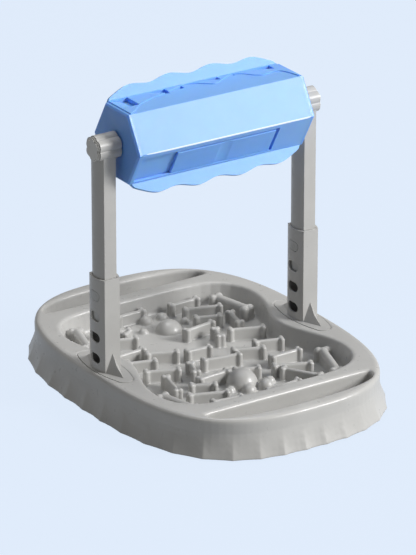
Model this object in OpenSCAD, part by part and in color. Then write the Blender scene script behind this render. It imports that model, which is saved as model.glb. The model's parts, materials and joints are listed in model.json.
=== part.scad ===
// Rotating treat dispenser: a feeder tray with bone shaped ribs, two telescopic
// posts and a hexagonal treat drum that turns between them.
// X runs along the drum, Y to the back, Z up, with the floor at zero.

/* [Tray] */

// width of the tray at the floor, across the two posts
tray_w = 277; // [272:1:284]
// length of the tray at the floor, front to back
tray_l = 380; // [372:1:392]
// height of the tray's top face above the floor
tray_h = 39; // [37:0.5:42]
// how far the rim stands inside the floor outline
rim_inset = 9; // [7:0.5:10]
// radius of the rim's outer edge
rim_round = 4.5; // [4:0.5:5]
// how deep the flutes of the skirt are at the floor
flute_depth = 1.6; // [1.2:0.1:2.4]
// number of flutes around the skirt
flute_count = 38; // [34:4:42]
// wall thickness of the tray moulding
tray_wall = 2.6; // [2.2:0.1:3]
// how far the skirt stays above the floor
skirt_lift = 1; // [0.8:0.1:1.4]

/* [Bowl and troughs] */

// width of the deck between the floor outline and the bowl, at each post's side
side_deck = 26.5; // [25.5:0.5:28]
// length of the deck between the floor outline and the bowl, at the front and back
end_deck = 63.5; // [62.5:0.5:65]
// how far the bowl narrows on each side beside a post
waist_depth = 24; // [22:1:26]
// how far along the bowl the narrowing reaches
waist_reach = 48; // [44:1:50]
// height of the bowl floor above the floor
bowl_floor = 17.5; // [16:0.5:19]
// radius of the bowl's and troughs' upper edges
lip_round = 3.5; // [3:0.5:4]
// height of the bone shaped ribs above the bowl floor
bone_h = 13; // [11:0.5:14]
// width of a bone shaped rib
bone_w = 4.6; // [4:0.2:5.2]
// distance from a trough's ends to the floor outline's sides
trough_inset = 44; // [43:0.5:48]
// width of the bridge between the bowl and a trough
bridge_w = 9.5; // [9:0.5:10.5]
// width of a trough at its middle
trough_w = 34; // [32:1:35]
// height of a trough's floor above the floor
trough_floor = 15; // [13:0.5:17]

/* [Posts] */

// distance from a post's middle to the floor outline's side
post_inset = 27; // [26.5:0.5:28]
// depth of the sleeve's outside, front to back
sleeve_d = 27; // [26:0.5:28]
// width of the sleeve's flat front and back sides
sleeve_flat_w = 16.4; // [16:0.2:17]
// how far the sleeve's outer and inner sides bulge
sleeve_bulge = 3.6; // [3.4:0.1:3.8]
// height of the sleeve above the tray
sleeve_h = 93; // [91:1:96]
// depth of the sliding tube's outside, front to back
tube_d = 22; // [21.6:0.1:22.2]
// width of the sliding tube's flat sides
tube_flat_w = 12.9; // [12.6:0.1:13]
// how far the sliding tube's sides bulge
tube_bulge = 3.4; // [3.3:0.1:3.5]
// wall of the sliding tube
tube_wall = 1.8; // [1.6:0.1:2]
// distance between two height holes
hole_pitch = 21; // [20:0.5:21.5]
// height of the lowest hole above the tray
hole_first = 12; // [11:0.5:13]
// width of a height hole, front to back
hole_w = 15.8; // [15:0.2:17]
// height of a height hole
hole_h = 10; // [9.6:0.2:10.4]
// number of height holes in a sleeve
hole_count = 4; // [4:1:4]
// play between the sliding tube and the sleeve, each side
slide_gap = 0.3; // [0.25:0.05:0.35]
// how far a button moves in when it is pressed
button_travel = 2.4; // [2.2:0.1:2.6]
// how far the lower button's face lies below the sleeve's face
low_button_recess = 2.3; // [2.2:0.1:2.6]

/* [Drum] */

// height of the drum's axis above the floor
axis_h = 259; // [257:1:262]
// radius of the drum to its six corners
drum_r = 39.5; // [39:0.5:40]
// distance between a post's middle and the drum's end face
drum_gap = 14; // [13.8:0.1:15]
// wall of the drum's shells
drum_wall = 2.4; // [2.2:0.1:2.6]
// thickness of one flange
flange_t = 2; // [1.8:0.1:2.2]
// mean reach of the flanges beyond the drum's corner
flange_reach = 12.4; // [11:0.2:13]
// height of the flange's waves to each side
wave_h = 2; // [1.4:0.2:2.4]
// distance between two waves
wave_pitch = 46; // [44:1:48]
// length of a shutter
shutter_l = 109; // [107:1:110]
// diameter of the axle pins
pin_d = 9; // [8.6:0.1:9.4]
// play around an axle pin in the drum, each side
pin_gap = 0.08; // [0.06:0.01:0.1]

/* [Hidden] */

$fn = 48;
cut = 1;
bowl_w = tray_w - side_deck * 2;
bowl_l = tray_l - end_deck * 2;
trough_l = tray_w - trough_inset * 2;
trough_side = bowl_l / 2 + bridge_w;
post_spacing = tray_w - post_inset * 2;
drum_l = post_spacing - drum_gap * 2;
seat_gap = 0.3;
fit_gap = 0.15;
bury = 0.4;
squircle_power = 2.8;
rim_power = 2.97;
bowl_power = 5;
trough_power = 2.4;
trough_wall = tray_wall * 0.75;
side_power = 6;
side_share = 0.2;
steps_per_flute = 4;
bowl_steps = 88;
trough_steps = 52;

// tray
skirt_shares = [[0, 0, 1], [0.15, 0.26, 0.86], [0.35, 0.58, 0.5], [0.55, 0.84, 0.14], [0.7, 0.97, 0]];
round_angles = [0, 30, 60, 90];
fillet_angles = [0, 45, 90];
floor_fillet = 4;
wall_draft = 3.5;
rim_z = tray_h - rim_round;

// how far up the hollow, share of the rim's inset, share of the wall and flute
hollow_shares = [[0.35, 0.58, 0.8], [0.7, 1, 0.62]];
hollow_low_share = 0.85;

// shares of half the bowl's width and half its length, turn in degrees, share of half the length
bone_shares = [
    [0.42, 0.87, 2, 0.28], [0.49, 0.7, -17, 0.32], [0.42, 0.53, -21, 0.23],
    [0.24, 0.41, 8, 0.3], [0.05, 0.29, -5, 0.32], [-0.21, 0.32, -24, 0.19],
    [0.3, 0.23, -107, 0.19], [0.09, -0.45, -21, 0.22], [0.56, 0.18, -20, 0.3],
    [0.57, -0.1, -17, 0.25], [0.33, -0.15, -23, 0.27], [0.54, -0.37, 2, 0.29],
    [0.46, -0.57, -22, 0.32], [0.44, -0.72, -57, 0.34], [0.16, -0.85, 8, 0.33],
    [0.61, 0.41, -103, 0.25], [-0.11, 0.9, 2, 0.27], [-0.46, 0.51, -17, 0.25],
    [-0.56, 0.27, 4, 0.28], [-0.33, 0.14, -23, 0.27], [-0.58, 0.08, -17, 0.25],
    [-0.53, -0.14, -22, 0.29], [-0.61, -0.38, -103, 0.31], [-0.28, -0.22, -108, 0.21],
    [-0.22, -0.41, 5, 0.3], [-0.03, 0.05, -4, 0.23], [0.04, -0.17, -9, 0.33],
    [-0.4, -0.52, -27, 0.22], [-0.46, -0.67, -20, 0.33], [-0.39, -0.83, -8, 0.27],
    [-0.45, 0.69, -58, 0.3], [-0.35, 0.65, -17, 0.12]
];
big_bone_shares = [
    [0.76, 0.66, -77, 0.4], [0.77, -0.66, -108, 0.46],
    [-0.75, 0.68, -105, 0.4], [-0.77, -0.68, -76, 0.38]
];
// shares of half the bowl's width and half its length, then of the largest pad's width and height
pad_shares = [
    [-0.01, -0.516, 1, 1], [-0.031, -0.638, 0.5, 0.47], [0.127, -0.655, 0.47, 0.59],
    [0.221, -0.579, 0.37, 0.38], [-0.162, -0.558, 0.33, 0.31],
    [0.094, 0.63, 0.9, 0.72], [0.014, 0.847, 0.42, 0.5], [-0.114, 0.704, 0.35, 0.29],
    [0.184, 0.855, 0.4, 0.41], [0.295, 0.687, 0.27, 0.38]
];
bone_knob = bone_w * 0.6;
bone_cone = bone_w * 0.3;
knob_proud = 0.9;
knob_spread_share = 0.85;
big_bone_w = 9;
big_bone_h = 15;
big_knob = 4.4;
big_spread_share = 0.9;
pad_w = bowl_l * 0.12;
pad_h = 16;

// posts
leaf_half_w = 13.6;
leaf_half_l = 42;
leaf_neck = 36;
leaf_end_r = 8;
leaf_bow = 113;
leaf_t = 2;
pad_drop = 3;
pad_grow = 1;
socket_wall = 2.2;
socket_floor = 11;
stub_floor = 7;
lug_reach = 1.3;
lug_h = 3;
lug_w = 9;
lug_ramp_share = 0.7;
slit_w = 1.2;
slit_h = 14;
gusset_h = 19;
gusset_reach = 19.5;
gusset_mid_shares = [0.36, 0.4];
bore_d = tube_d + slide_gap + slide_gap;
bore_flat_w = tube_flat_w + slide_gap + slide_gap;
tube_foot = 9;
tube_low = tray_h + hole_first + hole_pitch * (hole_count - 2) - tube_foot;
sleeve_mid = sleeve_flat_w / 2 + sleeve_bulge;
tube_mid = tube_flat_w / 2 + tube_bulge;
button_gap = 0.3;
button_flange = 1.6;
button_lip = 1.4;
spring_t = 0.5;
spring_w = 7;
spring_reach = 9;
spring_seat = 0.85;

// heads
head_r = 13.2;
lobe_r = 6.8;
lobe_count = 6;
lobe_core_share = 0.4;
head_inward = 12.5;
head_outward = tube_mid + 0.4;
head_l = head_inward + head_outward;
head_shift = (head_inward - head_outward) / 2;
tube_high = axis_h - head_r / 2;
step_t = 1;
step_inset = 1.3;
head_bore_gap = 0.15;

// drum
front_turn = 150;
back_turn = front_turn + 180;
scoop_lead = 120;
parting = 2;
hex_a = drum_r * cos(30);
cap_t = 4;
cap_edge = 1.6;
cap_spigot = 6;
cap_gap = 0.2;
hub_r = 8.5;
hub_l = 13;
hub_stand = 0.8;
hub_floor = 1.6;
shell_l = drum_l - cap_t - cap_t;
flange_l = shell_l;
flange_power = 4;
flange_points = 72;
peg_r = 1.5;
peg_l = 1.2;
peg_gap = 0.1;
peg_shares = [-0.72, -0.27, 0.27, 0.72];
pocket_depth = 3.2;
pocket_floor = 2;
pocket_w = 31.5;
pocket_left = 92;
pocket_right = 60;
front_lowered = 1.5;
back_raised = 2;
pocket_rim = 2.4;
groove_reach = 1.2;
groove_h = 1.3;
shutter_plate = 1.1;
shutter_gap = 0.2;
shutter_right = 57;
shutter_ledge = 3.2;
shutter_top_gap = 0.3;
window_left = 20;
window_right = 54;
window_w = 20;
thumb_r = 40;
thumb_depth = 0.8;
scoop_edge = 0.6;
notch_tip = 0.25;
scoop_pad = 1.4;
scoop_depth = 4;
scoop_l = 18;
scoop_share = -0.785;
scoop_w_share = 0.56;
scoop_pad_share = 0.7;
apron_t = 0.9;
apron_steps = 96;

// the apron's wavy edge: shares of half the shell's length and of half the width up to the flange
apron_shares = [
    [-1, -0.96], [-0.915, -0.69], [-0.8, -0.19], [-0.66, 0.17], [-0.5, 0.4], [-0.35, 0.6],
    [-0.2, 0.86], [-0.09, 1], [0.01, 0.86], [0.095, 0.53], [0.17, 0.31], [0.31, 0.63],
    [0.46, 0.95], [0.56, 0.72], [0.63, 0.3], [0.72, 0.07], [0.84, 0.19], [0.93, 0.07],
    [0.97, -0.35], [1, -0.96]
];
// each notch: its left point, its right end and how far forward that end reaches, in the same shares
notch_shares = [
    [-0.556, 0.9, -0.349, 0.41], [-0.24, 0.72, -0.15, 0.66], [0.097, 0.93, 0.276, 0.62],
    [0.44, 0.88, 0.475, 0.8], [0.695, 0.88, 0.9, 0.47]
];

// feet
foot_r = 7;
foot_t = 2.6;
foot_plug_r = 2.5;
foot_plug_l = 4;
foot_place_shares = [0.7, 0.69];

// Plan shapes

function squircle_r(a, b, turn, power) =
    1 / pow(pow(abs(cos(turn)) / a, power) + pow(abs(sin(turn)) / b, power), 1 / power);

function plan_turn(a, b, u) = atan2(b * sin(u), a * cos(u));

function plan_point(a, b, u, power, dent) =
    let (
        turn = plan_turn(a, b, u),
        r = squircle_r(a, b, turn, power) - dent
    )
    [r * cos(turn), r * sin(turn)];

function swell(u) =
    let (f = u * flute_count / 360 - floor(u * flute_count / 360))
    1 - pow(2 * f - 1, 2);

function skirt_ring(z, inset, flute, steps) = [
    for (i = [0 : steps - 1])
        let (
            u = i * 360 / steps,
            p = plan_point(tray_w / 2 - inset, tray_l / 2 - inset, u,
                squircle_power + (rim_power - squircle_power) * z / tray_h, flute * swell(u))
        )
        [p[0], p[1], z]
];

function bowl_point(grow, u) =
    let (p = plan_point(bowl_w / 2 + grow, bowl_l / 2 + grow, u, bowl_power, 0))
    [p[0] - sign(p[0]) * waist_depth * exp(-pow(p[1] / waist_reach, 2)), p[1]];

function bowl_ring(z, grow) = [
    for (i = [0 : bowl_steps - 1])
        let (p = bowl_point(grow, (i + 0.5) * 360 / bowl_steps))
        [p[0], p[1], z]
];

function trough_point(grow, u) =
    let (
        side = trough_w * side_share,
        a = trough_l / 2 + grow,
        b = (u < 180 ? trough_w - side : side) + grow,
        power = u < 180 ? trough_power : side_power,
        p = plan_point(a, b, u, power, 0)
    )
    [p[0], p[1] + trough_side + side];

function trough_ring(z, grow) = [
    for (i = [0 : trough_steps - 1])
        let (p = trough_point(grow, (i + 0.5) * 360 / trough_steps))
        [p[0], p[1], z]
];

// A closed body through a stack of rings with the same number of points
module stack(rings) {
    count = len(rings[0]);
    last = len(rings) - 1;
    points = [for (ring = rings) each ring];
    sides = [
        for (k = [0 : last - 1])
            for (i = [0 : count - 1])
                let (
                    a = k * count + i,
                    b = k * count + (i + 1) % count
                )
                each [[a, a + count, b], [b, a + count, b + count]]
    ];
    low = [for (i = [0 : count - 1]) i];
    high = [for (i = [count - 1 : -1 : 0]) last * count + i];
    polyhedron(points = points, faces = concat([low], sides, [high]));
}

// Tray

module skirt_body() {
    steps = flute_count * steps_per_flute;
    rise = rim_z - skirt_lift;
    stack(concat(
        [for (s = skirt_shares)
            skirt_ring(skirt_lift + s[0] * rise, s[1] * rim_inset, s[2] * flute_depth, steps)],
        [for (t = round_angles)
            skirt_ring(rim_z + rim_round * sin(t), rim_inset + rim_round * (1 - cos(t)), 0, steps)]
    ));
}

module skirt_hollow() {
    steps = flute_count * 2;
    grow = tray_wall + flute_depth;
    rise = rim_z - skirt_lift;
    stack([
        skirt_ring(skirt_lift - cut, grow * hollow_low_share, 0, steps),
        for (s = hollow_shares)
            skirt_ring(skirt_lift + s[0] * rise, s[1] * rim_inset + s[2] * grow, 0, steps),
        skirt_ring(rim_z, rim_inset + tray_wall, 0, steps),
        skirt_ring(tray_h - tray_wall, rim_inset + rim_round, 0, steps)
    ]);
}

module bowl_body(skin) {
    low = bowl_floor - skin;
    stack(concat(
        [for (t = fillet_angles)
            bowl_ring(low + floor_fillet * (1 - cos(t)),
                skin - lip_round - wall_draft - floor_fillet * (1 - sin(t)))],
        [for (t = round_angles)
            bowl_ring(tray_h - lip_round * (1 - sin(t)), skin - lip_round * cos(t))],
        [bowl_ring(tray_h + cut, skin)]
    ));
}

module trough_body(skin) {
    low = trough_floor - skin;
    stack(concat(
        [for (t = fillet_angles)
            trough_ring(low + floor_fillet * (1 - cos(t)),
                skin - lip_round - floor_fillet * (1 - sin(t)))],
        [for (t = round_angles)
            trough_ring(tray_h - lip_round * (1 - sin(t)), skin - lip_round * cos(t))],
        [trough_ring(tray_h + cut, skin)]
    ));
}

module both_sides() {
    for (turn = [0, 180])
        rotate([0, 0, turn])
            children();
}

module at_posts() {
    for (side = [-1, 1])
        translate([side * post_spacing / 2, 0, 0])
            children();
}

module leaf_plan(grow) {
    intersection() {
        translate([leaf_bow - leaf_half_w, 0])
            circle(r = leaf_bow + grow, $fn = 180);
        translate([leaf_half_w - leaf_bow, 0])
            circle(r = leaf_bow + grow, $fn = 180);
        square([leaf_bow, (leaf_neck + grow) * 2], center = true);
    }
    for (end = [-1, 1])
        translate([0, end * (leaf_half_l - leaf_end_r)])
            circle(r = leaf_end_r + grow, $fn = 48);
}

module barrel(depth, flat_w, bulge) {
    bow = (pow(depth / 2, 2) + bulge * bulge) / (2 * bulge);
    middle = flat_w / 2 + bulge - bow;
    intersection() {
        translate([middle, 0])
            circle(r = bow, $fn = 96);
        translate([-middle, 0])
            circle(r = bow, $fn = 96);
        square([bow + bow, depth], center = true);
    }
}

module grown_barrel(depth, flat_w, bulge, grow) {
    barrel(depth + grow + grow, flat_w + grow + grow, bulge);
}

module at_knobs(long, spread, r) {
    for (end = [-1, 1])
        for (side = [-1, 1])
            translate([end * (long / 2 - r), side * spread, 0])
                children();
}

module bone(long) {
    bar = long - bone_knob - bone_knob;
    rotate([90, 0, 90])
        linear_extrude(bar, center = true)
            polygon([
                [-bone_w / 2, 0], [bone_w / 2, 0],
                [bone_w / 2, bone_h - bone_cone], [bone_w / 2 - bone_cone, bone_h],
                [bone_cone - bone_w / 2, bone_h], [-bone_w / 2, bone_h - bone_cone]
            ]);
    at_knobs(long, bone_knob * knob_spread_share, bone_knob) {
        cylinder(h = bone_h + knob_proud - bone_cone, r = bone_knob, $fn = 24);
        translate([0, 0, bone_h + knob_proud - bone_cone])
            cylinder(h = bone_cone, r1 = bone_knob, r2 = bone_knob - bone_cone, $fn = 24);
    }
}

module big_bone(long) {
    bar = long - big_knob - big_knob;
    shoulder = big_bone_h - big_bone_w / 2;
    translate([0, 0, shoulder])
        rotate([0, 90, 0])
            cylinder(h = bar, d = big_bone_w, center = true, $fn = 32);
    translate([0, 0, shoulder / 2])
        cube([bar, big_bone_w, shoulder], center = true);
    at_knobs(long, big_knob * big_spread_share, big_knob) {
        translate([0, 0, big_bone_h - big_knob])
            sphere(r = big_knob, $fn = 24);
        cylinder(h = big_bone_h - big_knob, r = big_knob, $fn = 24);
    }
}

// A rounded pad, the cap of a ball
module dome(w, h) {
    r = (w * w / 4 + h * h) / (2 * h);
    difference() {
        translate([0, 0, h - r])
            sphere(r = r, $fn = 48);
        translate([-r, -r, -r - r])
            cube([r + r, r + r, r + r]);
    }
}

module on_bowl(shares, turn) {
    translate([shares[0] * bowl_w / 2, shares[1] * bowl_l / 2, bowl_floor - bury])
        rotate([0, 0, turn])
            children();
}

module bone_maze() {
    for (s = bone_shares)
        on_bowl(s, s[2])
            bone(s[3] * bowl_l / 2);
    for (s = big_bone_shares)
        on_bowl(s, s[2])
            big_bone(s[3] * bowl_l / 2);
    for (s = pad_shares)
        on_bowl(s, 0)
            dome(s[2] * pad_w, s[3] * pad_h + bury);
}

module at_corner_feet() {
    across = foot_place_shares[0] * tray_w / 2;
    along = foot_place_shares[1] * tray_l / 2;
    for (side = [-1, 1])
        for (end = [-1, 1])
            translate([side * across, end * along, 0])
                children();
}

module at_middle_feet() {
    for (end = [-1, 1])
        translate([0, end * (trough_side + trough_w / 2), 0])
            children();
}

module at_feet() {
    at_corner_feet()
        children();
    at_middle_feet()
        children();
}

// The moulded shell, sized to the full width of the tray
module tray_shell() {
    resize([tray_w, 0, 0])
        difference() {
            skirt_body();
            difference() {
                skirt_hollow();
                bowl_body(tray_wall);
                both_sides()
                    trough_body(trough_wall);
            }
            bowl_body(0);
            both_sides()
                trough_body(0);
        }
}

module post_mounts() {
    at_posts() {
        translate([0, 0, tray_h - leaf_t - pad_drop])
            linear_extrude(pad_drop + bury)
                leaf_plan(pad_grow);
        translate([0, 0, socket_floor])
            linear_extrude(tray_h - leaf_t - socket_floor)
                grown_barrel(sleeve_d, sleeve_flat_w, sleeve_bulge, fit_gap + socket_wall);
    }
}

module post_cuts() {
    at_posts() {
        translate([0, 0, tray_h - leaf_t])
            linear_extrude(leaf_t + cut)
                leaf_plan(seat_gap);
        translate([0, 0, skirt_lift])
            linear_extrude(tray_h)
                grown_barrel(sleeve_d, sleeve_flat_w, sleeve_bulge, fit_gap);
    }
}

// Stands over a foot and runs up to the wall above it
module foot_boss(top) {
    translate([0, 0, foot_t])
        cylinder(h = top - foot_t + bury, r = foot_r + fit_gap, $fn = 32);
}

module feeder_tray() {
    color([0.72, 0.72, 0.71])
        difference() {
            union() {
                tray_shell();
                post_mounts();
                at_corner_feet()
                    foot_boss(tray_h - tray_wall);
                at_middle_feet()
                    foot_boss(trough_floor - trough_wall);
                bone_maze();
            }
            post_cuts();
            at_feet()
                cylinder(h = foot_t + foot_plug_l + seat_gap, r = foot_plug_r + fit_gap, $fn = 32);
        }
}

module rubber_feet() {
    color([0.3, 0.3, 0.31])
        at_feet() {
            cylinder(h = foot_t, r = foot_r);
            cylinder(h = foot_t + foot_plug_l, r = foot_plug_r);
        }
}

// Posts

module oval(w, h) {
    square([w - h, h], center = true);
    for (side = [-1, 1])
        translate([side * (w - h) / 2, 0])
            circle(d = h, $fn = 48);
}

// An oval bar that runs from the post's middle out through its left side
module oval_bar(w, h, long) {
    rotate([90, 0, -90])
        linear_extrude(long)
            oval(w, h);
}

module at_hole(index) {
    translate([0, 0, tray_h + hole_first + index * hole_pitch])
        children();
}

module gusset() {
    low = -bury;
    wide = sleeve_flat_w / 2;
    start = sleeve_d / 2 - bury;
    reach = gusset_reach + bury;
    polyhedron(
        points = [
            [-wide, start, low], [wide, start, low], [0, start + reach, low],
            [0, start, gusset_h],
            [0, start + reach * gusset_mid_shares[0], gusset_h * gusset_mid_shares[1]]
        ],
        faces = [[0, 3, 1], [0, 1, 2], [0, 2, 4], [0, 4, 3], [1, 4, 2], [1, 3, 4]]
    );
}

module sleeve() {
    difference() {
        union() {
            translate([0, 0, stub_floor])
                linear_extrude(tray_h + sleeve_h - stub_floor)
                    barrel(sleeve_d, sleeve_flat_w, sleeve_bulge);
            translate([0, 0, tray_h - leaf_t])
                linear_extrude(leaf_t)
                    leaf_plan(0);
            both_sides()
                translate([0, 0, tray_h])
                    gusset();
            both_sides()
                translate([0, sleeve_d / 2 - bury, socket_floor - lug_h - seat_gap])
                    snap_lug();
        }
        linear_extrude(tray_h + sleeve_h + cut)
            barrel(bore_d, bore_flat_w, tube_bulge);
        for (i = [0 : hole_count - 1])
            at_hole(i)
                oval_bar(hole_w, hole_h, sleeve_mid + cut);
        both_sides()
            for (side = [-1, 1])
                translate([side * (lug_w + slit_w) / 2 - slit_w / 2, bore_d / 2 - cut, stub_floor - cut])
                    cube([slit_w, sleeve_d, slit_h + cut]);
    }
}

module snap_lug() {
    reach = bury + lug_reach;
    rotate([90, 0, 90])
        linear_extrude(lug_w - slit_w, center = true)
            polygon([[0, 0], [reach, lug_h * lug_ramp_share], [reach, lug_h], [0, lug_h]]);
}

// The outline of a head, drawn in by an inset
module lobes(inset) {
    for (i = [0 : lobe_count - 1])
        rotate([0, 0, 30 + i * 360 / lobe_count])
            translate([head_r - lobe_r, 0])
                circle(r = lobe_r - inset, $fn = 48);
    circle(r = head_r - lobe_r * lobe_core_share - inset, $fn = 48);
}

// A bar along X from zero to its length
module bar_x(long) {
    rotate([90, 0, 90])
        linear_extrude(long)
            children();
}

module post_tube(side) {
    difference() {
        union() {
            translate([0, 0, tube_low])
                linear_extrude(tube_high - tube_low)
                    difference() {
                        barrel(tube_d, tube_flat_w, tube_bulge);
                        grown_barrel(tube_d, tube_flat_w, tube_bulge, -tube_wall);
                    }
            translate([-head_l / 2 - side * head_shift, 0, axis_h])
                bar_x(head_l)
                    lobes(0);
        }
        for (i = [hole_count - 2, hole_count - 1])
            at_hole(i)
                oval_bar(hole_w, hole_h, tube_mid + cut);
        translate([-head_l, 0, axis_h])
            bar_x(head_l + head_l)
                circle(r = pin_d / 2 + head_bore_gap);
    }
}

module button(recess) {
    intersection() {
        oval_bar(hole_w - button_gap - button_gap, hole_h - button_gap - button_gap, sleeve_mid);
        translate([0, 0, -hole_h])
            linear_extrude(hole_h + hole_h)
                difference() {
                    grown_barrel(sleeve_d, sleeve_flat_w, sleeve_bulge, -recess);
                    translate([button_flange + button_travel - tube_mid + tube_wall, -sleeve_d])
                        square([sleeve_d, sleeve_d + sleeve_d]);
                }
    }
    intersection() {
        translate([0, 0, -hole_h / 2 - button_lip])
            linear_extrude(hole_h + button_lip + button_lip)
                difference() {
                    grown_barrel(tube_d, tube_flat_w, tube_bulge, -tube_wall - button_gap);
                    translate([button_flange + button_travel - tube_mid + tube_wall, -sleeve_d])
                        square([sleeve_d, sleeve_d + sleeve_d]);
                }
    }
}

module leaf_spring() {
    back = tube_mid - tube_wall - spring_seat;
    front = tube_mid - tube_wall - button_flange - button_travel;
    rise = back + front;
    bow = (pow(spring_reach, 2) + rise * rise) / (2 * rise);
    low = tray_h + hole_first + (hole_count - 2) * hole_pitch;
    rotate([90, 0, 0])
        linear_extrude(spring_w, center = true) {
            for (i = [0, 1])
                translate([back - rise + bow, low + i * hole_pitch])
                    intersection() {
                        difference() {
                            circle(r = bow, $fn = 96);
                            circle(r = bow - spring_t, $fn = 96);
                        }
                        translate([-bow, -spring_reach])
                            square([rise, spring_reach + spring_reach]);
                    }
            translate([back - spring_t, low - spring_reach])
                square([spring_t, hole_pitch + spring_reach + spring_reach]);
        }
}

// A pin with a stepped lobed cap on its outer end, drawn for the right post
module axle_pin() {
    outer = head_l / 2 - head_shift;
    inner = post_spacing / 2 - drum_l / 2 + hub_l - hub_floor - seat_gap;
    for (i = [1, 2])
        translate([outer, 0, 0])
            bar_x(i * step_t)
                lobes(i * step_inset);
    translate([-inner, 0, 0])
        bar_x(inner + outer + step_t)
            circle(d = pin_d);
}

// Drum, drawn about its axis with the joint between the shells lying flat

module along(long) {
    translate([-long / 2, 0, 0])
        bar_x(long)
            children();
}

module drum_pose() {
    translate([0, 0, axis_h])
        rotate([60, 0, 0])
            children();
}

// Puts a piece on a face of the drum: its turn is the face's direction
module on_face(turn) {
    rotate([turn - 90, 0, 0])
        translate([0, 0, hex_a])
            children();
}

module hexagon(inset) {
    circle(r = drum_r - inset / cos(30), $fn = 6);
}

module half_plane(side) {
    translate([-drum_r, side > 0 ? -parting : -drum_r])
        square([drum_r + drum_r, side > 0 ? drum_r + parting : drum_r - parting]);
}

function flange_edge(x) =
    let (
        lift = flange_reach + wave_h * cos((x - wave_pitch / 2) * 360 / wave_pitch),
        end = pow(abs(2 * x / flange_l), flange_power)
    )
    drum_r + lift * sqrt(max(0, 1 - end));

module flange_plan() {
    low = drum_r - drum_wall;
    polygon(concat(
        [for (i = [0 : flange_points])
            let (x = flange_l * (i / flange_points - 0.5))
            [x, flange_edge(x)]],
        [[flange_l / 2, low], [-flange_l / 2, low]]
    ));
}

module flanges(low) {
    for (turn = [0, 180])
        rotate([turn, 0, 0])
            translate([0, 0, turn > 0 ? -low - flange_t : low])
                linear_extrude(flange_t)
                    flange_plan();
}

module at_pegs() {
    for (turn = [0, 1])
        for (s = peg_shares)
            translate([s * flange_l / 2, (turn > 0 ? -1 : 1) * (drum_r + flange_reach / 2), -parting])
                children();
}

module pocket_block(shift) {
    long = pocket_left + pocket_right + pocket_rim + pocket_rim;
    wide = pocket_w + (pocket_rim + groove_reach) * 2;
    translate([-pocket_left - pocket_rim, shift - wide / 2, -pocket_depth - pocket_floor])
        cube([long, wide, pocket_depth + pocket_floor - drum_wall + bury]);
}

module pocket_cut(shift) {
    translate([-pocket_left, shift - pocket_w / 2, -pocket_depth])
        cube([pocket_left + pocket_right, pocket_w, pocket_depth + cut]);
    translate([-pocket_left, shift - pocket_w / 2 - groove_reach, -pocket_depth])
        cube([pocket_left + pocket_right, pocket_w + groove_reach + groove_reach, groove_h]);
    translate([window_left, shift - window_w / 2, -pocket_depth - pocket_floor - cut])
        cube([window_right - window_left, window_w, pocket_depth + pocket_floor + cut]);
}

function slope_at(rows, i) =
    let (
        a = rows[max(0, i - 1)],
        b = rows[min(len(rows) - 1, i + 1)]
    )
    (b[1] - a[1]) / (b[0] - a[0]);

// A smooth curve through rows of growing first values
function smooth_at(rows, x) =
    let (
        i = max([for (k = [0 : len(rows) - 2]) rows[k][0] <= x ? k : 0]),
        a = rows[i],
        b = rows[i + 1],
        w = b[0] - a[0],
        f = (x - a[0]) / w,
        c = slope_at(rows, i) * w,
        d = slope_at(rows, i + 1) * w,
        rise = b[1] - a[1]
    )
    a[1] + c * f + (3 * rise - 2 * c - d) * f * f + (c + d - 2 * rise) * f * f * f;

// How wide a shell's face is up to the root of its flange
function root_reach(side) = side > 0 ? drum_r : drum_r - (parting + flange_t) / sin(60);

function across(share, reach) = (share + 1) * reach / 2 - drum_r / 2;

// A thin apron at the flange's root, with a wavy edge along the drum's face
module apron(reach) {
    far = across(1, reach) + apron_t;
    half = (shell_l - apron_t) / 2;
    translate([0, 0, -bury])
        linear_extrude(bury + apron_t)
            polygon(concat(
                [for (i = [0 : apron_steps])
                    let (x = 2 * i / apron_steps - 1)
                    [x * half, across(smooth_at(apron_shares, x), reach)]],
                [[half, far], [-half, far]]
            ));
}

module notch_plan(notch, reach, grow) {
    left = notch[0] * shell_l / 2 - grow;
    right = notch[2] * shell_l / 2 + grow;
    root = across(1, reach) - scoop_edge;
    tip = notch_tip + grow;
    polygon([
        [left, across(notch[1], reach) - tip], [right, across(notch[3], reach) - grow],
        [right, root + grow], [left, across(notch[1], reach) + tip]
    ]);
}

module at_scoop(reach) {
    translate([scoop_share * shell_l / 2, across(1, reach) - scoop_edge - scoop_w_share * reach, 0])
        children();
}

// Walls inside the shell, under the notches and the ramp
module notch_pads(reach) {
    deep = scoop_depth + scoop_pad;
    tall = deep - drum_wall + bury;
    ramp = scoop_l * scoop_pad_share;
    for (notch = notch_shares)
        translate([0, 0, -deep])
            linear_extrude(tall)
                notch_plan(notch, reach, scoop_pad);
    at_scoop(reach)
        translate([-ramp, -scoop_pad, -deep])
            cube([ramp + scoop_pad, scoop_w_share * reach + scoop_pad + scoop_edge, tall]);
}

// The notches, and a ramp that runs down from the left end to a step
module notch_cuts(reach) {
    for (notch = notch_shares)
        translate([0, 0, -scoop_depth])
            linear_extrude(scoop_depth + cut)
                notch_plan(notch, reach, 0);
    at_scoop(reach)
        rotate([90, 0, 180])
            linear_extrude(scoop_w_share * reach)
                polygon([[0, cut], [0, -scoop_depth], [scoop_l, 0], [scoop_l, cut]]);
}

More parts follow.
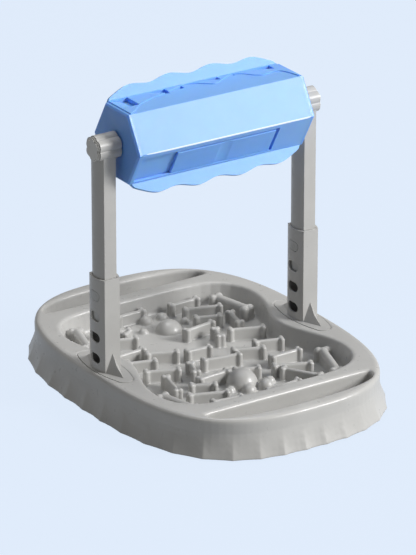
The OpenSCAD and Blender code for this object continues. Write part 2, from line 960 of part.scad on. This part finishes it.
module shell(side) {
    shutter_turn = side > 0 ? front_turn : back_turn;
    scoop_turn = shutter_turn - scoop_lead;
    shift = side > 0 ? -front_lowered : back_raised;
    reach = root_reach(side);
    difference() {
        union() {
            along(shell_l)
                intersection() {
                    difference() {
                        hexagon(0);
                        hexagon(drum_wall);
                    }
                    half_plane(side);
                }
            flanges(side > 0 ? -parting : -parting - flange_t);
            on_face(scoop_turn)
                apron(reach);
            intersection() {
                union() {
                    on_face(shutter_turn)
                        pocket_block(shift);
                    on_face(scoop_turn)
                        notch_pads(reach);
                }
                along(shell_l)
                    intersection() {
                        hexagon(0);
                        half_plane(side);
                    }
            }
            if (side < 0)
                at_pegs()
                    translate([0, 0, -bury])
                        cylinder(h = peg_l + bury, r = peg_r);
        }
        on_face(shutter_turn)
            pocket_cut(shift);
        on_face(scoop_turn)
            notch_cuts(reach);
        if (side > 0)
            at_pegs()
                translate([0, 0, -cut])
                    cylinder(h = peg_l + peg_gap + cut, r = peg_r + peg_gap);
    }
}

module shutter(shift) {
    long = shutter_l;
    tongue = groove_reach - shutter_gap;
    translate([shutter_right - long, shift, -pocket_depth]) {
        translate([0, -pocket_w / 2 - tongue, 0])
            cube([long, pocket_w + tongue + tongue, shutter_plate]);
        difference() {
            translate([0, shutter_gap - pocket_w / 2, 0])
                cube([long, pocket_w - shutter_ledge - shutter_gap, pocket_depth - shutter_top_gap]);
            translate([long / 2, 0, pocket_depth - shutter_top_gap + thumb_r - thumb_depth])
                rotate([90, 0, 0])
                    cylinder(h = pocket_w + pocket_w, r = thumb_r, center = true, $fn = 96);
        }
    }
}

// An end cap drawn for the right end, its ring notched where the shutter pockets run out
module end_cap() {
    face = drum_l / 2;
    difference() {
        union() {
            hull() {
                translate([face - cap_t, 0, 0])
                    bar_x(cap_t - cap_edge)
                        hexagon(0);
                translate([face - cap_t, 0, 0])
                    bar_x(cap_t)
                        hexagon(cap_edge);
            }
            difference() {
                translate([face - cap_t - cap_spigot, 0, 0])
                    bar_x(cap_spigot + bury)
                        difference() {
                            hexagon(drum_wall + cap_gap);
                            hexagon(drum_wall + drum_wall + cap_gap);
                        }
                for (turn = [front_turn, back_turn])
                    on_face(turn)
                        translate([face - cap_t - cap_spigot - cut, -drum_r / 2, -drum_r / 2])
                            cube([cap_spigot + cut, drum_r, drum_r / 2]);
            }
            translate([face - hub_l, 0, 0])
                bar_x(hub_l + hub_stand)
                    circle(r = hub_r);
        }
        translate([face - hub_l + hub_floor, 0, 0])
            bar_x(hub_l + hub_stand + cut - hub_floor)
                circle(r = pin_d / 2 + pin_gap);
    }
}

// Placed pieces

module left_post() {
    translate([-post_spacing / 2, 0, 0])
        children();
}

module right_post() {
    translate([post_spacing / 2, 0, 0])
        children();
}

module left_sleeve() {
    color([0.7, 0.7, 0.69])
        left_post()
            sleeve();
}

module right_sleeve() {
    color([0.7, 0.7, 0.69])
        right_post()
            sleeve();
}

module left_tube() {
    color([0.68, 0.68, 0.67])
        left_post()
            post_tube(-1);
}

module right_tube() {
    color([0.68, 0.68, 0.67])
        right_post()
            post_tube(1);
}

module left_upper_button() {
    color([0.6, 0.6, 0.59])
        left_post()
            at_hole(hole_count - 1)
                button(0);
}

module left_lower_button() {
    color([0.6, 0.6, 0.59])
        left_post()
            at_hole(hole_count - 2)
                button(low_button_recess);
}

module right_upper_button() {
    color([0.6, 0.6, 0.59])
        right_post()
            at_hole(hole_count - 1)
                button(0);
}

module right_lower_button() {
    color([0.6, 0.6, 0.59])
        right_post()
            at_hole(hole_count - 2)
                button(low_button_recess);
}

module left_button_spring() {
    color([0.75, 0.76, 0.78])
        left_post()
            leaf_spring();
}

module right_button_spring() {
    color([0.75, 0.76, 0.78])
        right_post()
            leaf_spring();
}

module left_axle_pin() {
    color([0.65, 0.65, 0.64])
        left_post()
            translate([0, 0, axis_h])
                rotate([0, 0, 180])
                    axle_pin();
}

module right_axle_pin() {
    color([0.65, 0.65, 0.64])
        right_post()
            translate([0, 0, axis_h])
                axle_pin();
}

module left_end_cap() {
    color([0.3, 0.5, 0.85])
        drum_pose()
            rotate([0, 180, 0])
                mirror([0, 0, 1])
                    end_cap();
}

module right_end_cap() {
    color([0.3, 0.5, 0.85])
        drum_pose()
            end_cap();
}

module front_shell() {
    color([0.5, 0.72, 0.95])
        drum_pose()
            shell(1);
}

module back_shell() {
    color([0.47, 0.7, 0.93])
        drum_pose()
            shell(-1);
}

module front_shutter() {
    color([0.42, 0.62, 0.9])
        drum_pose()
            on_face(front_turn)
                shutter(-front_lowered);
}

module back_shutter() {
    color([0.42, 0.62, 0.9])
        drum_pose()
            on_face(back_turn)
                shutter(back_raised);
}

feeder_tray();
rubber_feet();
left_sleeve();
right_sleeve();
left_tube();
right_tube();
left_upper_button();
left_lower_button();
right_upper_button();
right_lower_button();
left_button_spring();
right_button_spring();
left_axle_pin();
right_axle_pin();
left_end_cap();
right_end_cap();
front_shell();
back_shell();
front_shutter();
back_shutter();
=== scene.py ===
"""Looks of the rotating treat dispenser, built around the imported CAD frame. Lengths are in metres."""

import json
import math

import bmesh
import bpy
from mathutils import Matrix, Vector

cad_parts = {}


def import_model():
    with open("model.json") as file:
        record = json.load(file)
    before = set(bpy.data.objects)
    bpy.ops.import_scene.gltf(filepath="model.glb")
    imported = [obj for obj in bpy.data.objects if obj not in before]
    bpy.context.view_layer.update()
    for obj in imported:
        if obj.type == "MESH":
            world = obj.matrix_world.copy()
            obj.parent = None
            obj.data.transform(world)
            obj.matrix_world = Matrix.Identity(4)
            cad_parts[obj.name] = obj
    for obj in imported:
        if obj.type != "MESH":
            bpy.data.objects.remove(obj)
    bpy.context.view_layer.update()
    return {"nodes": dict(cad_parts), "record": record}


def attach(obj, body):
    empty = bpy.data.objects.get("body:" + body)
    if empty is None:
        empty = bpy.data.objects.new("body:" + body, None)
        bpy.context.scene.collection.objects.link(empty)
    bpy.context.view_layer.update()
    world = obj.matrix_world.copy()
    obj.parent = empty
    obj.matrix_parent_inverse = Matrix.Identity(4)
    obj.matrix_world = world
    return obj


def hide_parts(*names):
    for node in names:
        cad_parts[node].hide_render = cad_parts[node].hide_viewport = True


MM = 0.001

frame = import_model()
record = frame["record"]
bodies = record["behaviour"]["bodies"]
slots = {row["node"]: row["material_slot"] for row in record["subparts"]}
body_of = {node: body for body, nodes in bodies.items() for node in nodes}

# The drum's end cap has the drum's own outline, so its box gives the axis and the corners.
cap_box = frame["nodes"]["left_end_cap"].bound_box
DRUM_CORNER_R = max(corner[1] for corner in cap_box)
AXIS_H = (max(corner[2] for corner in cap_box) + min(corner[2] for corner in cap_box)) / 2

# The walls of a sleeve's height holes, which get painted light: just over half their width, how far out
# they begin, their heights, and how far their normals may lean along the hole
HOLE_HALF_W = 8.3 * MM
HOLE_WALL_FROM = 118 * MM
HOLES_FROM = 45 * MM
HOLES_TO = 120 * MM
WALL_TILT = 0.6

# Turns at which an edge counts as sharp, on most pieces and on the shells with their shallow ramps
SHARP_TURN = math.radians(28)
SHELL_SHARP_TURN = math.radians(6)

# The drum: an edge that runs along it, how near its corners count, and where a flange begins beyond them;
# these place the rounding, the painted glint and the flange's painted shade
LONG_EDGE = 50 * MM
CORNER_ZONE = 1.5 * MM
FLANGE_START = 0.4 * MM

# Points closer than this are one point
WELD_REACH = 0.002 * MM


# Materials


def linear(rgb):
    """An sRGB colour given from 0 to 255, as Blender's linear values."""
    shares = [c / 255 for c in rgb]
    return tuple(c / 12.92 if c <= 0.04045 else ((c + 0.055) / 1.055) ** 2.4 for c in shares) + (1,)


def shade(colour, factor):
    """A linear colour made darker or lighter."""
    return tuple(min(1, c * factor) for c in colour[:3]) + (1,)


class Nodes:
    """A short way to add and join shader nodes."""

    def __init__(self, owner):
        owner.use_nodes = True
        self.tree = owner.node_tree
        self.tree.nodes.clear()

    def add(self, kind, **inputs):
        node = self.tree.nodes.new(kind)
        for key, value in inputs.items():
            self.put(node, key.replace("_", " "), value)
        return node

    def put(self, node, key, value):
        socket = node.inputs[key]
        if isinstance(value, bpy.types.NodeSocket):
            self.tree.links.new(value, socket)
        else:
            socket.default_value = value

    def math(self, operation, *values):
        node = self.tree.nodes.new("ShaderNodeMath")
        node.operation = operation
        for place, value in enumerate(values):
            self.put(node, place, value)
        return node.outputs[0]

    def mix(self, share, first, second):
        node = self.tree.nodes.new("ShaderNodeMixShader")
        for place, value in enumerate((share, first, second)):
            self.put(node, place, value)
        return node.outputs[0]

    def noise(self, where, scale, detail, roughness):
        node = self.add("ShaderNodeTexNoise", Vector=where, Scale=scale, Detail=detail, Roughness=roughness)
        return node.outputs["Fac"]

    def ramp(self, fac, low, high, start=0.0, end=1.0):
        """A colour that runs from low to high while fac runs from start to end."""
        node = self.add("ShaderNodeValToRGB", Fac=fac)
        dark, light = node.color_ramp.elements
        dark.position, light.position = start, end
        dark.color, light.color = low, high
        return node.outputs["Color"]

    def spread(self, value, low, high, start=0.0, end=1.0):
        """A number that runs from low to high while value runs from start to end."""
        limits = {"From Min": start, "From Max": end, "To Min": low, "To Max": high}
        node = self.add("ShaderNodeMapRange", Value=value)
        for key, limit in limits.items():
            self.put(node, key, limit)
        return node.outputs["Result"]

    def bump(self, height, strength, distance):
        node = self.add("ShaderNodeBump", Height=height, Strength=strength, Distance=distance)
        return node.outputs["Normal"]

    def output(self, kind, surface):
        self.put(self.tree.nodes.new(kind), "Surface", surface)


def new_material(name):
    material = bpy.data.materials.new(name)
    return material, Nodes(material)


def moulded_plastic(
    name, rgb, roughness, specks=0.035, wear=0.2, coat=0.0, coat_roughness=0.12, soft=0.0
):
    """Moulded plastic: faint clouds in the colour, uneven gloss and a very fine orange peel."""
    material, m = new_material(name)
    colour = linear(rgb)
    where = m.add("ShaderNodeTexCoord").outputs["Object"]
    cloud = m.noise(where, scale=38.0, detail=4.0, roughness=0.6)
    rub = m.noise(where, scale=160.0, detail=3.0, roughness=0.55)
    peel = m.noise(where, scale=520.0, detail=2.0, roughness=0.5)
    dark = shade(colour, 1 - specks)
    light = shade(colour, 1 + specks)
    shiny = roughness * (1 - wear)
    rubbed = roughness * (1 + wear)
    body = m.add("ShaderNodeBsdfPrincipled")
    settings = {
        "Base Color": m.ramp(cloud, dark, light, start=0.3, end=0.7),
        "Roughness": m.spread(rub, shiny, rubbed, start=0.3, end=0.7),
        "Normal": m.bump(peel, strength=0.06, distance=0.1 * MM),
        "IOR": 1.48,
        "Coat Weight": coat,
        "Coat Roughness": coat_roughness,
    }
    if soft:
        settings["Subsurface Weight"] = soft
        settings["Subsurface Radius"] = (0.15, 0.35, 1.0)
        settings["Subsurface Scale"] = 6 * MM
    for key, value in settings.items():
        m.put(body, key, value)
    m.output("ShaderNodeOutputMaterial", body.outputs["BSDF"])
    return material


def matt_rubber(name, rgb):
    """Dull rubber with a fine grain."""
    material, m = new_material(name)
    colour = linear(rgb)
    where = m.add("ShaderNodeTexCoord").outputs["Object"]
    grain = m.noise(where, scale=900.0, detail=4.0, roughness=0.7)
    body = m.add("ShaderNodeBsdfPrincipled", Roughness=0.85)
    m.put(body, "Base Color", m.ramp(grain, shade(colour, 0.85), shade(colour, 1.2)))
    m.put(body, "Normal", m.bump(grain, strength=0.3, distance=0.2 * MM))
    m.output("ShaderNodeOutputMaterial", body.outputs["BSDF"])
    return material


def rolled_steel(name, rgb):
    """Spring steel with fine lines along the strip."""
    material, m = new_material(name)
    colour = linear(rgb)
    where = m.add("ShaderNodeTexCoord").outputs["Object"]
    stretch = m.add("ShaderNodeMapping", Vector=where, Scale=(900, 900, 25))
    lines = m.noise(stretch.outputs["Vector"], scale=1.0, detail=3.0, roughness=0.5)
    body = m.add("ShaderNodeBsdfPrincipled", Metallic=1.0)
    m.put(body, "Base Color", m.ramp(lines, shade(colour, 0.85), shade(colour, 1.1)))
    m.put(body, "Roughness", m.spread(lines, low=0.25, high=0.42))
    m.output("ShaderNodeOutputMaterial", body.outputs["BSDF"])
    return material


PLASTICS = {
    "tray_plastic": dict(rgb=(186, 185, 182), roughness=0.33, coat=0.06),
    "post_plastic": dict(rgb=(184, 183, 180), roughness=0.34),
    # Painted light: a pale tone for the walls of the sleeves' height holes.
    "painted_light_hole_plastic": dict(rgb=(246, 245, 242), roughness=0.5),
    "tube_plastic": dict(rgb=(184, 183, 180), roughness=0.36),
    "button_plastic": dict(rgb=(176, 176, 173), roughness=0.34),
    "pin_plastic": dict(rgb=(210, 209, 205), roughness=0.34),
    "cap_blue": dict(rgb=(116, 170, 255), roughness=0.42, coat=0.1, soft=0.5),
    # Painted highlight: a pale blue laid on the drum's corner rounding as a glint.
    "painted_glint_blue": dict(rgb=(232, 242, 253), roughness=0.35, specks=0.02, wear=0.05, coat=0.3),
}
DRUM_BLUES = {
    "shell_blue": (125, 176, 248),
    # Painted shade: a deeper blue for the flanges, standing in for light through thin plastic.
    "painted_shade_flange_blue": (103, 168, 244),
    "shutter_blue": (118, 171, 246),
}
DRUM_FINISH = dict(roughness=0.5, specks=0.02, wear=0.03, coat=0.2, coat_roughness=0.4, soft=0.5)

looks = {
    "foot_rubber": matt_rubber("foot_rubber", (72, 72, 74)),
    "spring_steel": rolled_steel("spring_steel", (200, 203, 207)),
}
for name, finish in PLASTICS.items():
    looks[name] = moulded_plastic(name, **finish)
for name, blue in DRUM_BLUES.items():
    looks[name] = moulded_plastic(name, blue, **DRUM_FINISH)


# Pieces


def copy_of(node, name):
    """A new object with the node's own mesh, welded along its seams, for detail work."""
    mesh = frame["nodes"][node].data.copy()
    mesh.name = name
    mesh.materials.clear()
    if "custom_normal" in mesh.attributes:
        mesh.attributes.remove(mesh.attributes["custom_normal"])
    work = bmesh.new()
    work.from_mesh(mesh)
    bmesh.ops.remove_doubles(work, verts=work.verts, dist=WELD_REACH)
    work.to_mesh(mesh)
    work.free()
    obj = bpy.data.objects.new(name, mesh)
    bpy.context.scene.collection.objects.link(obj)
    return obj


def settle(obj, node):
    """Gives the piece its finish and its body, and stands it in for the node."""
    obj.data.materials.clear()
    obj.data.materials.append(looks[slots[node]])
    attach(obj, body_of[node])
    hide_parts(node)
    return obj


def added_look(obj, look):
    """Adds a second finish to the piece and says its place in the list."""
    obj.data.materials.append(looks[look])
    return len(obj.data.materials) - 1


def apply_modifiers(obj):
    """Turns the modified mesh into the object's own."""
    bpy.context.view_layer.update()
    held = bpy.context.evaluated_depsgraph_get()
    mesh = bpy.data.meshes.new_from_object(obj.evaluated_get(held))
    obj.modifiers.clear()
    old = obj.data
    obj.data = mesh
    bpy.data.meshes.remove(old)


def evened(obj):
    """Corner normals that follow the largest faces, so flat faces shade flat."""
    even = obj.modifiers.new("flats", "WEIGHTED_NORMAL")
    even.mode = "FACE_AREA"
    even.weight = 100
    even.keep_sharp = True
    return obj


def smooth(obj):
    """Shades the whole piece smooth."""
    for face in obj.data.polygons:
        face.use_smooth = True
    return obj


def rounded(node, name, width, steps=3):
    """The node with its sharp edges rounded as a mould rounds them."""
    obj = smooth(copy_of(node, name))
    bevel = obj.modifiers.new("edges", "BEVEL")
    bevel.width = width
    bevel.segments = steps
    bevel.limit_method = "ANGLE"
    bevel.angle_limit = SHARP_TURN
    evened(obj)
    return settle(obj, node)


def crisp(obj, turn=SHARP_TURN):
    """Smooth curved faces that meet at sharp edges."""
    smooth(obj).data.set_sharp_from_angle(angle=turn)
    return obj


def drum_corner(point):
    """Whether a point is at the drum's front or back corner."""
    return abs(point.y) > DRUM_CORNER_R - CORNER_ZONE


def shell(node, name, width):
    """A half shell with a rounding along the drum's corner, a pale painted glint (painted highlight) on
    that rounding, and painted shade in its flange: a deeper tone that stands in for light through the thin
    plastic.
    """
    obj = copy_of(node, name)
    work = bmesh.new()
    work.from_mesh(obj.data)
    share = work.edges.layers.float.new("bevel_weight_edge")
    for edge in work.edges:
        middle = (edge.verts[0].co + edge.verts[1].co) / 2
        sharp = len(edge.link_faces) == 2 and edge.calc_face_angle() > SHARP_TURN
        edge[share] = float(sharp and drum_corner(middle) and edge.calc_length() > LONG_EDGE)
    work.to_mesh(obj.data)
    work.free()
    bevel = obj.modifiers.new("edges", "BEVEL")
    bevel.width = width
    bevel.segments = 3
    bevel.limit_method = "WEIGHT"
    bevel.use_clamp_overlap = False
    apply_modifiers(obj)
    evened(crisp(obj, SHELL_SHARP_TURN))
    apply_modifiers(obj)
    settle(obj, node)
    # Painted light: the rounding strips along the drum's corner get a pale painted glint, and the flange
    # faces get a deeper painted shade.
    painted_glint_look = added_look(obj, "painted_glint_blue")
    painted_shade_look = added_look(obj, "painted_shade_flange_blue")
    points = [vertex.co for vertex in obj.data.vertices]
    for face in obj.data.polygons:
        longest = max((points[a] - points[b]).length for a, b in face.edge_keys)
        thin = face.area < longest * width
        if longest > LONG_EDGE and drum_corner(face.center) and thin:
            face.material_index = painted_glint_look
        elif math.hypot(face.center.y, face.center.z - AXIS_H) > DRUM_CORNER_R + FLANGE_START:
            face.material_index = painted_shade_look
    return obj


def paint_light_in_holes(obj):
    """Paints light onto the walls of a sleeve's height holes: a paler tone than its faces, standing in for
    light that reaches into the holes.
    """
    # Painted light: the hole walls get a pale tone that stands in for light reaching into them.
    painted_light_look = added_look(obj, "painted_light_hole_plastic")
    for face in obj.data.polygons:
        at = face.center
        in_hole = abs(at.y) < HOLE_HALF_W and abs(at.x) > HOLE_WALL_FROM and HOLES_FROM < at.z < HOLES_TO
        if in_hole and abs(face.normal.x) < WALL_TILT:
            face.material_index = painted_light_look
    return obj


def moulded(node, name, grain, passes):
    """The node drawn over by a fine even mesh, whose corners are then eased as in a moulding."""
    obj = copy_of(node, name)
    remesh = obj.modifiers.new("skin", "REMESH")
    remesh.mode = "VOXEL"
    remesh.voxel_size = grain
    remesh.use_smooth_shade = True
    ease = obj.modifiers.new("ease", "SMOOTH")
    ease.factor = 0.5
    ease.iterations = passes
    apply_modifiers(obj)
    return settle(obj, node)


moulded("feeder_tray", "tray", grain=0.8 * MM, passes=4)
rounded("rubber_feet", "feet", 0.4 * MM)
for side in ("left", "right"):
    # The sleeves' hole walls get painted light.
    paint_light_in_holes(rounded(f"{side}_sleeve", f"{side}_post_sleeve", 0.5 * MM))
    settle(crisp(copy_of(f"{side}_tube", f"{side}_post_tube")), f"{side}_tube")
    rounded(f"{side}_upper_button", f"{side}_upper_button_face", 0.3 * MM)
    rounded(f"{side}_lower_button", f"{side}_lower_button_face", 0.3 * MM)
    settle(crisp(copy_of(f"{side}_axle_pin", f"{side}_pin")), f"{side}_axle_pin")
    settle(copy_of(f"{side}_end_cap", f"{side}_cap"), f"{side}_end_cap")
    rounded(f"{side}_button_spring", f"{side}_leaf_spring", 0.1 * MM, steps=2)
for half in ("front", "back"):
    shell(f"{half}_shell", f"{half}_half_shell", 0.9 * MM)
    rounded(f"{half}_shutter", f"{half}_door", 0.5 * MM)


# Floor, light and camera


FLOOR_HALF = 6.0
FLOOR_DROP = 0.2 * MM
FLOOR_SEEN = linear((227, 239, 255))
FLOOR_LIT = linear((176, 178, 180))
SEEN_SHARE = 0.94
SHINE_SHARE = 0.5

WORLD_SEEN = linear((223, 236, 252))
WORLD_LIGHT = 0.19

CAMERA_TURN = math.radians(-33.12)
CAMERA_RISE = math.radians(21.84)
CAMERA_DISTANCE = 4.149
CAMERA_AIM = Vector((0, 0, 0.171))


def backdrop():
    """A pale floor, seen in the photo's plain colour with a little of the shadow on it."""
    material, m = new_material("backdrop")
    body = m.add("ShaderNodeBsdfPrincipled", Roughness=0.9, Base_Color=FLOOR_LIT, Specular_IOR_Level=0.1)
    glow = m.add("ShaderNodeEmission", Color=FLOOR_SEEN, Strength=1.0)
    path = m.add("ShaderNodeLightPath").outputs
    seen = m.math("MULTIPLY", path["Is Camera Ray"], SEEN_SHARE)
    share = m.math("MULTIPLY_ADD", path["Is Glossy Ray"], SHINE_SHARE, seen)
    m.output("ShaderNodeOutputMaterial", m.mix(share, body.outputs["BSDF"], glow.outputs["Emission"]))
    mesh = bpy.data.meshes.new("floor")
    corners = [(x * FLOOR_HALF, y * FLOOR_HALF, 0) for x, y in ((-1, -1), (1, -1), (1, 1), (-1, 1))]
    mesh.from_pydata(corners, [], [(0, 1, 2, 3)])
    mesh.materials.append(material)
    floor = bpy.data.objects.new("floor", mesh)
    floor.location.z = -FLOOR_DROP
    bpy.context.scene.collection.objects.link(floor)


def world():
    """Even white light, behind the plain pale blue that the camera sees."""
    studio = bpy.data.worlds.new("studio")
    bpy.context.scene.world = studio
    m = Nodes(studio)
    seen = m.add("ShaderNodeBackground", Color=WORLD_SEEN, Strength=1.0)
    light = m.add("ShaderNodeBackground", Color=(1, 1, 1, 1), Strength=WORLD_LIGHT)
    path = m.add("ShaderNodeLightPath").outputs
    share = m.math("MAXIMUM", path["Is Camera Ray"], path["Is Transmission Ray"])
    mixed = m.mix(share, light.outputs["Background"], seen.outputs["Background"])
    m.output("ShaderNodeOutputWorld", mixed)


def area(name, place, target, size, power):
    """A square soft box that looks at the target."""
    data = bpy.data.lights.new(name, "AREA")
    data.shape = "RECTANGLE"
    data.size = size
    data.size_y = size
    data.energy = power
    lamp = bpy.data.objects.new(name, data)
    lamp.location = place
    lamp.rotation_euler = (Vector(target) - Vector(place)).to_track_quat("-Z", "Y").to_euler()
    bpy.context.scene.collection.objects.link(lamp)


def camera():
    """The photo's viewpoint, through a long lens."""
    flat = math.cos(CAMERA_RISE)
    back = Vector((math.sin(CAMERA_TURN) * flat, -math.cos(CAMERA_TURN) * flat, math.sin(CAMERA_RISE)))
    data = bpy.data.cameras.new("camera")
    data.sensor_width = 36
    data.lens = 286.96
    data.shift_x = 0.0054
    data.shift_y = -0.119
    data.clip_end = 20
    eye = bpy.data.objects.new("camera", data)
    eye.location = CAMERA_AIM + back * CAMERA_DISTANCE
    eye.rotation_euler = (-back).to_track_quat("-Z", "Y").to_euler()
    bpy.context.scene.collection.objects.link(eye)
    bpy.context.scene.camera = eye


backdrop()
world()
area("key", place=(1.75, -1.95, 1.6), target=(0, 0, 0.12), size=1.1, power=100)
area("top", place=(0.2, 0.6, 2.4), target=(0, 0, 0), size=1.2, power=20)
camera()
bpy.context.scene.view_settings.view_transform = "Standard"
